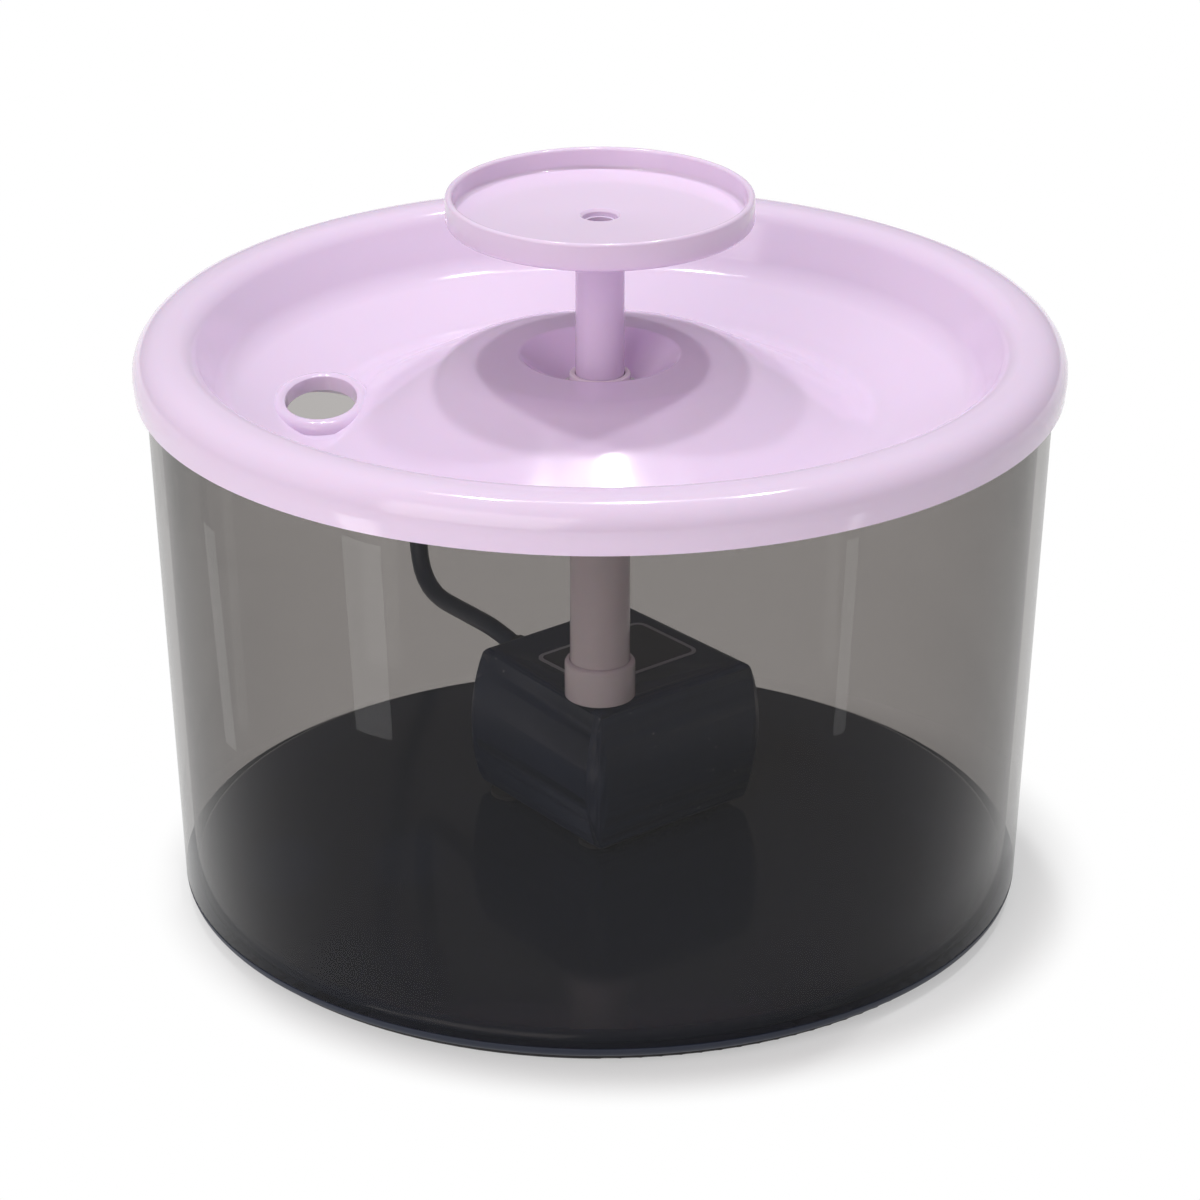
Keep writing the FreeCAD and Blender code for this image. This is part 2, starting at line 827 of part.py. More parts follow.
def coil_edges():
    """Half circles that spiral in on the floor, climb one layer and spiral out on top."""
    edges = []
    for k in range(coil_in_halves + 1 + coil_out_halves):
        start, heading = coil_station(k)
        end = coil_station(k + 1)[0]
        middle = (start + end) / 2 + heading * ((end - start).Length / 2)
        edges.append(arc(start, middle, end))
    return edges


def swept(edges, name):
    """Round cord along a chain of edges, with its volume compared with section times length."""
    path = Part.Wire(edges)
    start = edges[0].Vertexes[0].Point
    heading = edges[0].tangentAt(edges[0].FirstParameter)
    section = Part.Wire(Part.Circle(start, heading, cord_d / 2).toShape())
    solid = path.makePipeShell([section], True, False)
    expected = math.pi * cord_d ** 2 / 4 * path.Length
    print(name, "length", round(path.Length, 1), "volume share", round(solid.Volume / expected, 4))
    return solid


def least_gap(edges):
    """Least clear distance between stretches of the coil that aren't neighbours along it."""
    step = 3.0
    points = []
    for edge in edges:
        points += edge.discretize(Number=max(2, int(edge.Length / step)))[:-1]
    neighbours = int(4 * cord_d / step) + 2
    least = points[0].distanceToPoint(points[-1])
    for i, here in enumerate(points):
        for other in points[i + neighbours:]:
            least = min(least, here.distanceToPoint(other))
    return least - cord_d


def plug_body():
    """Moulded grip of the plug with a tapered strain relief at its rear."""
    front = plug_rear_x + relief_l + plug_l
    half_w, half_t = plug_w / 2, plug_t / 2
    grip = block((plug_rear_x + relief_l, plug_y - half_w, plug_z - half_t),
                 (front, plug_y + half_w, plug_z + half_t))
    grip = grip.makeFillet(plug_round, [e for e in grip.Edges if e.BoundBox.XLength > plug_l / 2])
    relief = Part.makeCone(relief_r, plug_t / 2 - 0.2, relief_l + 1, V(plug_rear_x, plug_y, plug_z), V(1, 0, 0))
    return grip.fuse(relief).removeSplitter()


def plug_shell():
    """Folded metal shell of the plug, open at its end."""
    start = plug_rear_x + relief_l + plug_l
    half_w, half_t = shell_w / 2, shell_t / 2
    outer = block((start, plug_y - half_w, plug_z - half_t), (start + shell_l, plug_y + half_w, plug_z + half_t))
    inner = block((start + 1, plug_y - half_w + shell_wall, plug_z - half_t + shell_wall),
                  (start + shell_l, plug_y + half_w - shell_wall, plug_z + half_t - shell_wall))
    return outer.cut(inner)


def plug_tongue():
    """Insulating tongue inside the shell."""
    start = plug_rear_x + relief_l + plug_l + 1
    half_w = shell_w / 2 - shell_wall
    low = plug_z - shell_t / 2 + shell_wall
    return block((start, plug_y - half_w, low), (start + shell_l - 2, plug_y + half_w, low + tongue_t))


def plug_contact(i):
    """One flat contact on the tongue."""
    start = plug_rear_x + relief_l + plug_l + 1
    pitch = (shell_w - 2 * shell_wall) / contacts
    y = plug_y + (i - (contacts - 1) / 2) * pitch
    low = plug_z - shell_t / 2 + shell_wall + tongue_t
    return block((start, y - contact_w / 2, low), (start + shell_l - 3, y + contact_w / 2, low + contact_t))


def save(name, shape):
    solids = shape.Solids
    if len(solids) == 1:
        shape = solids[0]
    print(name, "solids", len(solids), "valid", shape.isValid())
    shape.exportStep("parts/" + name + ".step")


def main():
    os.makedirs("parts", exist_ok=True)
    envelope = pump_envelope()
    save("foot_ring", foot_ring())
    save("base_plate", base_plate())
    save("tank_wall", tank_wall())
    save("lid", lid())
    save("fountain_dish", fountain_dish())
    save("fountain_stem", fountain_stem())
    save("riser_tube", riser_tube())
    save("pump_outlet_collar", pump_outlet_collar())
    save("pump_housing", in_place(pump_housing(envelope)))
    save("pump_rear_cover", in_place(rear_cover(envelope)))
    save("pump_front_cover", in_place(pump_cover(envelope)))
    save("chamber_plate", in_place(chamber_plate()))
    save("chamber_seal", in_place(chamber_seal()))
    save("front_shaft_bush", in_place(front_bush()))
    save("rear_shaft_bush", in_place(rear_bush()))
    save("rotor_shaft", in_place(rotor_shaft()))
    save("impeller", in_place(impeller()))
    save("rotor_magnet", in_place(rotor_magnet()))
    save("stator_core", in_place(stator_core()))
    save("winding_bobbin", in_place(winding_bobbin()))
    save("motor_winding", in_place(motor_winding()))
    save("driver_board", in_place(driver_board()))
    for i, (x, y) in enumerate(foot_spots()):
        save("pump_foot_%d" % (i + 1), in_place(pump_foot(x, y)))
    save("cord_gland", in_place(cord_gland()))
    lead, radii = rounded_route(pump_cord_route())
    print("pump_cord radii", [round(r, 1) for r in radii])
    save("pump_cord", swept(lead, "pump_cord"))
    coil = coil_edges()
    print("cord_coil least gap", round(least_gap(coil), 3))
    save("cord_coil", swept(coil, "cord_coil"))
    tail, radii = rounded_route(plug_lead_route())
    print("plug_lead radii", [round(r, 1) for r in radii])
    save("plug_lead", swept(tail, "plug_lead"))
    save("plug_body", plug_body())
    save("plug_shell", plug_shell())
    save("plug_tongue", plug_tongue())
    for i in range(contacts):
        save("plug_contact_%d" % (i + 1), plug_contact(i))


main()
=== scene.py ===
"""Finishes, smooth visible shells, supply cord and studio for a pet water fountain.

Laid out as an add-on: sizes and colours are properties, each piece has an operator, and main()
runs them. Profiles are written in millimetres as (radius, height, rounding) corners; the scene
itself is in metres.
"""

import bmesh
import bpy
import math
from bpy.props import FloatProperty, FloatVectorProperty, IntProperty, PointerProperty
from mathutils import Matrix, Vector


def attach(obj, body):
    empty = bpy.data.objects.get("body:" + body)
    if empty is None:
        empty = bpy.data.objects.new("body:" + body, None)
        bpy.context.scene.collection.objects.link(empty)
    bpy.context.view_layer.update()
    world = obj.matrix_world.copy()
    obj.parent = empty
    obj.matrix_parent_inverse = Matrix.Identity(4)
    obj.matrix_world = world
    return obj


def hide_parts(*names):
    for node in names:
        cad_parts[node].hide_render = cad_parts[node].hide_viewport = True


bl_info = {
    "name": "Pet water fountain",
    "version": (1, 0, 0),
    "blender": (4, 5, 0),
    "location": "3D View > Sidebar > Fountain",
    "description": "Builds the shells, finishes, cord and studio of a pet water fountain",
    "category": "Object",
}

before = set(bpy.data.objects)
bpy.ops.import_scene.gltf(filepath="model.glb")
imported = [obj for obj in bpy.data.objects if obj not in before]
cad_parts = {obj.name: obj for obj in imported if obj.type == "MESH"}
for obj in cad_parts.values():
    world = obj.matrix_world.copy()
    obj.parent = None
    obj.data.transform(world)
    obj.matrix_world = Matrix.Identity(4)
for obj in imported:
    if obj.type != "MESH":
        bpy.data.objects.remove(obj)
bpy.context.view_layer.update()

MM = 0.001
NEAR = 2e-5
ROUND_STEPS = 6

# Lid outline from the skirt's foot to the crater's hole
LID_T = 1.9
LID_TOP = [
    (94.49, 111.5, 0),
    (95.49, 121.5, 6.5),
    (82.99, 121.5, 5.0),
    (77.0, 108.5, 8.0),
    (58.0, 101.3, 10.0),
    (50.5, 103.8, 14.0),
    (29.0, 115.4, 13.0),
    (16.4, 116.1, 1.2),
    (12.3, 112.6, 2.5),
    (8.0, 109.0, 0),
]
RIB_RING = [(87.9, 113.0, 0.3), (89.5, 113.0, 0.3), (89.5, 120.2, 0), (87.9, 120.2, 0)]
SEAT_RIBS = 12
SEAT_RIB = ((88.7, -0.8, 117.0), (92.9, 0.8, 119.4))

# Return hole and its raised lip; the rings are (offset outward from the hole's edge, drop below
# the lip's top), and the flare then falls from the last ring to the shell
HOLE_CENTRE = (-57.3, 4.5)
HOLE_HALF = (7.25, 12.25)
LIP_TOP = 105.0
LIP_FOOT = 101.6
LIP_RINGS = [(0.0, 1.2), (0.15, 0.5), (0.6, 0.1), (1.3, 0.0),
             (2.1, 0.2), (2.8, 0.8), (3.2, 1.7), (3.3, 2.6)]
HOLE_STEPS = 96
HOLE_SPARE = 0.35
UNDERCUT_WIDER = 1.42
UNDERCUT_DEEP = 4
FLARE_WIDTH = 3.0
FLARE_RINGS = 7
FLARE_CURVE = 2.4
FLARE_SINK = 0.12

# Dish, stem, riser and collar
DISH = [
    (3.5, 144.2, 0),
    (31.15, 144.2, 1.2),
    (31.15, 150.1, 0.68),
    (29.65, 150.1, 0.68),
    (29.65, 145.7, 0.9),
    (4.1, 145.7, 0.35),
    (3.5, 145.1, 0.3),
]
STEM = [
    (2.9, 95.0, 0),
    (5.0, 95.0, 0.4),
    (5.0, 141.2, 0.8),
    (6.2, 142.7, 0.8),
    (6.2, 144.2, 0),
    (2.9, 144.2, 0),
]
RISER = [
    (3.9, 42.7, 0),
    (6.3, 42.7, 0.3),
    (6.3, 112.0, 0.45),
    (5.08, 112.0, 0.3),
    (5.08, 95.0, 0),
    (3.9, 95.0, 0),
]
COLLAR = [
    (4.48, 39.7, 0),
    (7.44, 39.7, 0.3),
    (7.44, 48.0, 1.0),
    (6.38, 48.0, 0.2),
    (6.38, 42.7, 0),
    (4.48, 42.7, 0),
]

# Tank wall and base plate
WALL = [(85.6, 4.0, 0), (88.0, 4.0, 0.4), (92.46, 117.0, 0.8), (90.06, 117.0, 0.8)]
NOTCH_AZIMUTH = 119.0
NOTCH_HALF = 2.5
NOTCH_FLOOR = 104.6
NOTCH_REACH = (80.0, 99.0)
NOTCH_TOP = 125.0
BASE = [
    (77.0, 3.4, 0),
    (77.0, 1.5, 0),
    (88.0, 1.5, 2.4),
    (88.0, 4.0, 0.2),
    (85.5, 4.0, 0),
    (85.5, 6.1, 2.0),
    (60.0, 6.1, 0),
]
DULL_BELOW = 0.0042

# Pump's heading and centre, and the blank label on its top, placed in the pump's own frame
PUMP_TURN = 39.5
PUMP_TOP = 39.5
PUMP_CENTRE = (0.69, 18.26)
LABEL_AT = (3.8, -0.2)
LABEL_SIZE = (29.6, 20.6)
LABEL_GAP = 0.01
LABEL_T = 0.12
LABEL_CORNER = 2.6
LABEL_BORDER = 0.95

# How the case's visible sides leave the plain case, in the pump's own (u, v, z) frame: the core
# that stays, the width over which the change grows to full, the corners, the bulge at mid height
# and the shift towards +u as (all over, by u, by v, by both)
CASE_MID = 23.3
CASE_RISE = 16.2
CORE_U, CORE_V, CORE_Z = 15.3, 18.3, 14.6
GROW_U, GROW_V, GROW_Z = 1.7, 1.7, 1.5
CASE_CORNER = (17.95, 20.8)
CASE_BULGE = 1.9
CASE_LONGER = 0.6
CASE_SHIFT = (3.0, 1.6, 0.48, -0.62)
SHIFT_MEAN, SHIFT_BY_HEIGHT = 0.875, 0.125
CASE_CUTS = 9
CASE_FLAT = 0.6
OUTLET_KEEP = 7.6

# Cord route, from inside the gland to the coil and from the coil to the plug
CORD_D = 4.0
COIL_CENTRE = (-6.0, 214.0)
COIL_OUTER = 30.5
COIL_PITCH = 4.5
COIL_FLOOR = 2.1
COIL_IN = 6
COIL_OUT = 7
COIL_TAIL = 9.0
POINTS_PER_HALF = 8
LEAD = [
    (-28.0, 48.0, 36.2),
    (-39.4, 67.2, 34.0),
    (-41.4, 73.2, 47.5),
    (-40.2, 72.3, 63.0),
    (-39.8, 71.6, 80.0),
    (-40.1, 72.3, 109.0),
    (-54.0, 98.0, 108.4),
    (-53.5, 114.0, 90.0),
    (-49.5, 126.0, 64.0),
    (-44.5, 139.0, 37.0),
    (-40.0, 156.0, 13.0),
    (-36.8, 180.0, 2.1),
]
PLUG_LEAD = [(-39.3, 238.0, 5.0), (-35.0, 254.0, 4.1), (-21.0, 262.4, 4.1), (-8.0, 262.0, 4.1)]
GLAND = (-5.5, 22.75, 35.2)
GLAND_INSIDE = 3.0
GLAND_OUTSIDE = 6.0
GLAND_RISE = 2.3

# Studio: lamps as (name, place, width or size, power or share of the top light), in metres
WARM = (1.0, 0.955, 0.945)
COOL = (0.97, 1.0, 0.99)
AIM = (0, 0, 0.11)
TOP_LAMPS = (
    ("top_lamp", (0.06, 0.24, 1.36), 0.06, 1.0),
    ("top_left_lamp", (-0.27, 0.19, 1.32), 0.06, 0.72),
    ("top_right_lamp", (0.38, 0.19, 1.3), 0.06, 0.72),
)
STRIP_LAMP = ("strip_lamp", (0.0, 0.25, 1.4), (0.9, 0.04), 1.0)
KEY_PLACE = (-0.55, -0.95, 0.6)
KEY_SIZE = (0.9, 0.9)
CARD_LAMPS = (
    ("card_lamp_left", (-0.150, -0.138, 0.032), 0.031, 0.016),
    ("card_lamp_far_left", (-0.157, -0.010, 0.032), 0.012, 0.002),
    ("card_lamp_right", (0.156, -0.129, 0.032), 0.010, 0.004),
)
CARD_AIM = (0, 0, 0.032)
CARD_TALL = 0.06
WORLD_LIGHT = 0.28
FLOOR_SIZE = 14.0
FLOOR_DROP = 0.0002
FADE_CENTRE = (0.005, -0.002, 0.0)
FADE_FROM, FADE_TO, FADE_LEAST = 0.086, 0.102, 0.42
CAMERA_PLACE = (0, -0.8415, 0.43095)
CAMERA_TILT = 66.28
CAMERA_LENS = 132.35


class FountainColours(bpy.types.PropertyGroup):
    lilac: FloatVectorProperty(
        name="Lilac plastic", description="Colour of the lid, dish and stem",
        subtype="COLOR", size=3, default=(0.80, 0.65, 0.845))
    # Riser and collar: a paler, pinker lilac than the lid's. The extra lightness is painted light,
    # standing in for the light that reaches the tube and collar inside the tank.
    riser: FloatVectorProperty(
        name="Riser plastic", description="Colour of the riser tube and the outlet collar",
        subtype="COLOR", size=3, default=(0.90, 0.79, 0.835))
    black: FloatVectorProperty(
        name="Pump plastic", description="Colour of the pump's case",
        subtype="COLOR", size=3, default=(0.013, 0.021, 0.052))
    base: FloatVectorProperty(
        name="Base plastic", description="Colour of the black base plate",
        subtype="COLOR", size=3, default=(0.014, 0.020, 0.040))
    smoke: FloatVectorProperty(
        name="Smoky wall", description="Tint of one surface of the clear wall",
        subtype="COLOR", size=3, default=(0.685, 0.672, 0.664))
    cord: FloatVectorProperty(
        name="Cord", description="Colour of the cord and plug",
        subtype="COLOR", size=3, default=(0.018, 0.025, 0.046))
    label: FloatVectorProperty(
        name="Label line", description="Colour of the line round the pump's blank label",
        subtype="COLOR", size=3, default=(0.42, 0.43, 0.45))


class FountainSizes(bpy.types.PropertyGroup):
    around: IntProperty(
        name="Steps around", description="Sides of the large round shells", default=192, min=48)
    cord_d: FloatProperty(
        name="Cord diameter", description="Outside diameter of the cord",
        default=CORD_D * MM, unit="LENGTH")
    top_light: FloatProperty(
        name="Top light", description="Power of the middle one of the three small lamps overhead",
        default=4.4, min=0.0)
    key_light: FloatProperty(
        name="Key light", description="Power of the large lamp at the front left",
        default=6.2, min=0.0)


class Value:
    """A shader socket; arithmetic on it adds Math nodes."""

    def __init__(self, look, socket):
        self.look = look
        self.socket = socket

    def _math(self, operation, first, second):
        return self.look.node("ShaderNodeMath", {"operation": operation},
                              {0: first, 1: second})

    def __add__(self, other):
        return self._math("ADD", self, other)

    __radd__ = __add__

    def __sub__(self, other):
        return self._math("SUBTRACT", self, other)

    def __rsub__(self, other):
        return self._math("SUBTRACT", other, self)

    def __mul__(self, other):
        return self._math("MULTIPLY", self, other)

    __rmul__ = __mul__

    def __pow__(self, other):
        return self._math("POWER", self, other)

    def over(self, limit):
        return self._math("GREATER_THAN", self, limit)


class Look:
    """One material: a surface shader, and the nodes that vary it."""

    def __init__(self, name, colour=None, **settings):
        self.material = bpy.data.materials.new(name)
        self.material.use_nodes = True
        self.tree = self.material.node_tree
        self.tree.nodes.clear()
        self.output = self.tree.nodes.new("ShaderNodeOutputMaterial")
        self.shader = self.tree.nodes.new("ShaderNodeBsdfPrincipled")
        self.tree.links.new(self.shader.outputs[0], self.output.inputs["Surface"])
        if colour:
            self.shader.inputs["Base Color"].default_value = (*colour, 1)
        for setting, value in settings.items():
            socket = setting.replace("_", " ").title().replace("Ior", "IOR")
            self.shader.inputs[socket].default_value = value

    def put(self, socket, value):
        if isinstance(value, Value):
            self.tree.links.new(value.socket, socket)
        else:
            socket.default_value = value

    def node(self, kind, settings=None, inputs=None, out=0):
        made = self.tree.nodes.new(kind)
        for name, value in (settings or {}).items():
            setattr(made, name, value)
        for name, value in (inputs or {}).items():
            self.put(made.inputs[name], value)
        return Value(self, made.outputs[out])

    def place(self):
        return self.node("ShaderNodeTexCoord", out="Object")

    def noise(self, scale, detail=2.0, roughness=0.5):
        return self.node("ShaderNodeTexNoise", {}, {
            "Vector": self.place(), "Scale": scale, "Detail": detail, "Roughness": roughness})

    def mix(self, share, first, second):
        """Colour that goes from first to second as share goes from 0 to 1."""
        made = self.tree.nodes.new("ShaderNodeMix")
        made.data_type = "RGBA"
        for index, value in ((0, share), (6, first), (7, second)):
            if isinstance(value, tuple):
                value = (*value, 1)
            self.put(made.inputs[index], value)
        return Value(self, made.outputs[2])

    def feed(self, name, value):
        self.put(self.shader.inputs[name], value)

    def bump(self, height, strength, distance):
        self.feed("Normal", self.node("ShaderNodeBump", {}, {
            "Height": height, "Strength": strength, "Distance": distance}))


def tone(colour, by):
    return tuple(min(1.0, c * by) for c in colour)


def moulded_gloss(name, colour):
    """Glossy moulded plastic: slight colour drift, a faint ripple and fine orange peel."""
    look = Look(name, colour, ior=1.45, coat_weight=0.08, coat_roughness=0.03,
                subsurface_weight=0.08, subsurface_scale=0.003)
    drift = look.noise(18.0, 3.0)
    look.feed("Base Color", look.mix(drift, tone(colour, 0.975), tone(colour, 1.02)))
    look.feed("Roughness", 0.08 + 0.06 * look.noise(60.0, 4.0))
    look.bump(look.noise(46.0, 1.0) + 0.05 * look.noise(1400.0, 2.0), 0.10, 0.0004)
    return look.material


def clear_smoke(tint):
    """Thin tinted clear wall: darker at its edges, with a mirror sheen, and light passes freely."""
    look = Look("clear_tank", tint)
    tree = look.tree
    tree.nodes.remove(look.shader)
    facing = look.node("ShaderNodeLayerWeight", {}, {"Blend": 0.5}, out="Facing")
    through = look.node("ShaderNodeBsdfTransparent", {}, {"Color": (*tint, 1)})
    edge = look.node("ShaderNodeBsdfTransparent", {}, {"Color": (*tone(tint, 0.62), 1)})
    sheen = look.node("ShaderNodeBsdfGlossy", {}, {"Roughness": 0.0, "Color": (1, 1, 1, 1)})
    tinted = look.node("ShaderNodeMixShader", {}, {0: facing ** 3.0, 1: through, 2: edge})
    pale = look.node("ShaderNodeBsdfTransparent", {}, {"Color": (1, 1, 1, 1)})
    shining_in = look.node("ShaderNodeLightPath", out="Is Shadow Ray")
    body = look.node("ShaderNodeMixShader", {}, {0: shining_in, 1: tinted, 2: pale})
    mirror = 0.012 + 0.6 * facing ** 5.0
    whole = look.node("ShaderNodeMixShader", {}, {0: mirror, 1: body, 2: sheen})
    tree.links.new(whole.socket, look.output.inputs["Surface"])
    return look.material


def black_gloss(colour):
    """Polished black plastic of the raised floor, duller round the base's outer edge."""
    look = Look("black_base", colour, ior=1.45, coat_weight=0.1, coat_roughness=0.03)
    look.feed("Base Color", look.mix(look.noise(14.0, 2.0), tone(colour, 0.85), tone(colour, 1.2)))
    height = look.node("ShaderNodeSeparateXYZ", {}, {"Vector": look.place()}, out="Z")
    raised = height.over(DULL_BELOW)
    look.feed("Roughness", 0.5 - 0.4 * raised + 0.10 * look.noise(35.0, 5.0))
    look.bump(look.noise(700.0, 2.0), 0.05, 0.0002)
    return look.material


def pump_black(colour):
    """Satin black plastic with a fine spark-eroded grain and a few pale specks."""
    look = Look("pump_black", colour, ior=1.48)
    grain = look.noise(1500.0, 3.0, 0.6)
    specks = look.noise(900.0, 1.0).over(0.76)
    body = look.mix(look.noise(40.0, 3.0), tone(colour, 0.85), tone(colour, 1.25))
    look.feed("Base Color", look.mix(0.35 * specks, body, (0.35, 0.36, 0.38)))
    look.feed("Roughness", 0.34 + 0.14 * grain)
    look.bump(grain, 0.02, 0.0001)
    return look.material


def rubber_look(colour):
    look = Look("rubber_black", colour, ior=1.5, sheen_weight=0.1)
    look.feed("Base Color", look.mix(look.noise(120.0, 4.0), tone(colour, 0.8), tone(colour, 1.6)))
    look.feed("Roughness", 0.55 + 0.2 * look.noise(300.0, 3.0))
    look.bump(look.noise(1800.0, 2.0), 0.3, 0.0002)
    return look.material


def cord_look(colour):
    """Flexible vinyl cord: satin, with faint drawn marks."""
    look = Look("cord_vinyl", colour, ior=1.5)
    look.feed("Base Color", look.mix(look.noise(90.0, 3.0), tone(colour, 0.8), tone(colour, 1.3)))
    look.feed("Roughness", 0.36 + 0.16 * look.noise(240.0, 3.0))
    look.bump(look.noise(900.0, 2.0), 0.15, 0.0002)
    return look.material


def plain_plastic(name, colour, rough, grain=900.0):
    look = Look(name, colour, ior=1.5)
    look.feed("Base Color", look.mix(look.noise(60.0, 3.0), tone(colour, 0.9), tone(colour, 1.05)))
    look.feed("Roughness", rough + 0.1 * look.noise(200.0, 3.0))
    look.bump(look.noise(grain, 2.0), 0.1, 0.0002)
    return look.material


def metal(name, colour, rough, streak):
    """Bare metal with a drawn or laminated streak along the stack's height."""
    look = Look(name, colour, metallic=1.0)
    bands = look.node("ShaderNodeTexWave", {"bands_direction": "Z"}, {
        "Vector": look.place(), "Scale": streak, "Distortion": 0.4, "Detail": 1.0})
    look.feed("Base Color", look.mix(bands, tone(colour, 0.8), tone(colour, 1.05)))
    look.feed("Roughness", rough + 0.12 * look.noise(500.0, 3.0))
    look.bump(bands, 0.15, 0.0002)
    return look.material


def label_face(colour):
    """Blank label face: satin film a little lighter than the case."""
    look = Look("label_face", colour, ior=1.5)
    look.feed("Base Color", look.mix(look.noise(70.0, 2.0), tone(colour, 0.9), tone(colour, 1.15)))
    look.feed("Roughness", 0.30 + 0.08 * look.noise(500.0, 2.0))
    look.bump(look.noise(1200.0, 2.0), 0.08, 0.0002)
    return look.material


MATERIALS = {}


def finish_for(name):
    """Each finish is made once, when the first piece asks for it."""
    if name not in MATERIALS:
        colours = bpy.context.scene.fountain_colours
        makers = {
            "lilac": lambda: moulded_gloss("lilac_plastic", tuple(colours.lilac)),
            # The riser's finish is the lilac plastic made lighter: painted light for the tube and
            # collar inside the tank.
            "riser": lambda: moulded_gloss("riser_plastic_lightened", tuple(colours.riser)),
            "smoke": lambda: clear_smoke(tuple(colours.smoke)),
            "gloss": lambda: black_gloss(tuple(colours.base)),
            "pump": lambda: pump_black(tuple(colours.black)),
            "rubber": lambda: rubber_look((0.018, 0.018, 0.02)),
            "cord": lambda: cord_look(tuple(colours.cord)),
            "label_line": lambda: plain_plastic("label_line", tuple(colours.label), 0.35),
            "label_face": lambda: label_face((0.030, 0.032, 0.042)),
            "white": lambda: plain_plastic("moulded_white", (0.72, 0.72, 0.70), 0.3),
            "ceramic": lambda: plain_plastic("ceramic", (0.84, 0.83, 0.79), 0.15),
            "board": lambda: plain_plastic("solder_mask", (0.02, 0.18, 0.06), 0.25),
            "ferrite": lambda: plain_plastic("ferrite", (0.06, 0.06, 0.065), 0.45),
            "steel": lambda: metal("core_laminations", (0.48, 0.48, 0.5), 0.35, 900.0),
            "copper": lambda: metal("copper_wire", (0.78, 0.36, 0.16), 0.3, 700.0),
            "nickel": lambda: metal("nickel_plate", (0.75, 0.75, 0.76), 0.2, 60.0),
            "gold": lambda: metal("contact_gold", (0.86, 0.62, 0.25), 0.2, 60.0),
        }
        MATERIALS[name] = makers[name]()
    return MATERIALS[name]


def dress(piece, finish):
    piece.data.materials.clear()
    piece.data.materials.append(finish_for(finish))


def dress_node(name, finish):
    """Give a CAD node a finish without touching its mesh."""
    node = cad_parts[name]
    if not node.material_slots:
        node.data.materials.append(None)
    for slot in node.material_slots:
        slot.link = "OBJECT"
        slot.material = finish_for(finish)


def deselect():
    active = bpy.context.object
    if active and active.mode == "EDIT":
        bpy.ops.object.mode_set(mode="OBJECT")
    bpy.ops.object.select_all(action="DESELECT")


def settle(piece, name):
    """Name a new piece and put its place, turn and scale into its mesh."""
    bpy.ops.object.transform_apply(location=True, rotation=True, scale=True)
    piece.name = name
    piece.data.name = name
    return piece


def edit_select(piece, wanted):
    """In edit mode, select only the edges that wanted() accepts."""
    mesh = bmesh.from_edit_mesh(piece.data)
    for face in mesh.faces:
        face.select = False
    for edge in mesh.edges:
        edge.select = False
    for vertex in mesh.verts:
        vertex.select = False
    for edge in mesh.edges:
        if wanted(edge):
            edge.select = True
    mesh.select_flush_mode()
    bmesh.update_edit_mesh(piece.data)


def on_ring(radius, height):
    """Test for an edge that lies on the circle of that radius and height about Z."""
    def test(edge):
        return all(
            abs(math.hypot(v.co.x, v.co.y) - radius * MM) < NEAR
            and abs(v.co.z - height * MM) < NEAR
            for v in edge.verts
        )
    return test


def lathe(name, corners, closed=True, steps=None):
    """Shell of revolution: a circle extruded from corner to corner, its rings bevelled round."""
    around = steps or bpy.context.scene.fountain_sizes.around
    deselect()
    first_r, first_z, _ = corners[0]
    bpy.ops.mesh.primitive_circle_add(vertices=around, radius=first_r * MM,
                                      location=(0, 0, first_z * MM))
    piece = settle(bpy.context.object, name)
    bpy.ops.object.mode_set(mode="EDIT")
    bpy.ops.mesh.select_mode(type="EDGE")
    bpy.ops.mesh.select_all(action="SELECT")
    for (r0, z0, _), (r1, z1, _) in zip(corners, corners[1:]):
        bpy.ops.mesh.extrude_region()
        if r1 != r0:
            bpy.ops.transform.resize(value=(r1 / r0, r1 / r0, 1),
                                     center_override=(0, 0, 0))
        if z1 != z0:
            bpy.ops.transform.translate(value=(0, 0, (z1 - z0) * MM))
    last_r, last_z, _ = corners[-1]
    if closed:
        first, last = on_ring(first_r, first_z), on_ring(last_r, last_z)
        edit_select(piece, lambda edge: first(edge) or last(edge))
        bpy.ops.mesh.bridge_edge_loops()
    count = len(corners)
    for i, (r, z, radius) in enumerate(corners):
        if radius:
            before, after = corners[i - 1], corners[(i + 1) % count]
            arrive = Vector((r - before[0], z - before[1]))
            leave = Vector((after[0] - r, after[1] - z))
            width = radius * math.tan(arrive.angle(leave) / 2)
            edit_select(piece, on_ring(r, z))
            bpy.ops.mesh.bevel(offset=width * MM, offset_type="OFFSET", segments=ROUND_STEPS,
                               profile=0.5, affect="EDGES", clamp_overlap=False)
    bpy.ops.mesh.select_all(action="SELECT")
    bpy.ops.mesh.normals_make_consistent(inside=False)
    bpy.ops.object.mode_set(mode="OBJECT")
    return piece


def smooth(piece, degrees=30.0):
    deselect()
    piece.select_set(True)
    bpy.context.view_layer.objects.active = piece
    bpy.ops.object.shade_smooth_by_angle(angle=math.radians(degrees))


def apply_modifier(piece, kind, **settings):
    deselect()
    piece.select_set(True)
    bpy.context.view_layer.objects.active = piece
    modifier = piece.modifiers.new(kind.title(), kind)
    for name, value in settings.items():
        setattr(modifier, name, value)
    bpy.ops.object.modifier_apply(modifier=modifier.name)


def cut_away(piece, cutter):
    apply_modifier(piece, "BOOLEAN", operation="DIFFERENCE", object=cutter, solver="EXACT")
    deselect()
    cutter.select_set(True)
    bpy.ops.object.delete()


def join_to(piece, others):
    deselect()
    for other in others:
        other.select_set(True)
    piece.select_set(True)
    bpy.context.view_layer.objects.active = piece
    bpy.ops.object.join()


def seat(piece, body, slot, *nodes):
    """Hand a finished piece to its body, and hide the nodes that it stands for."""
    if nodes:
        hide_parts(*nodes)
    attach(piece, body)


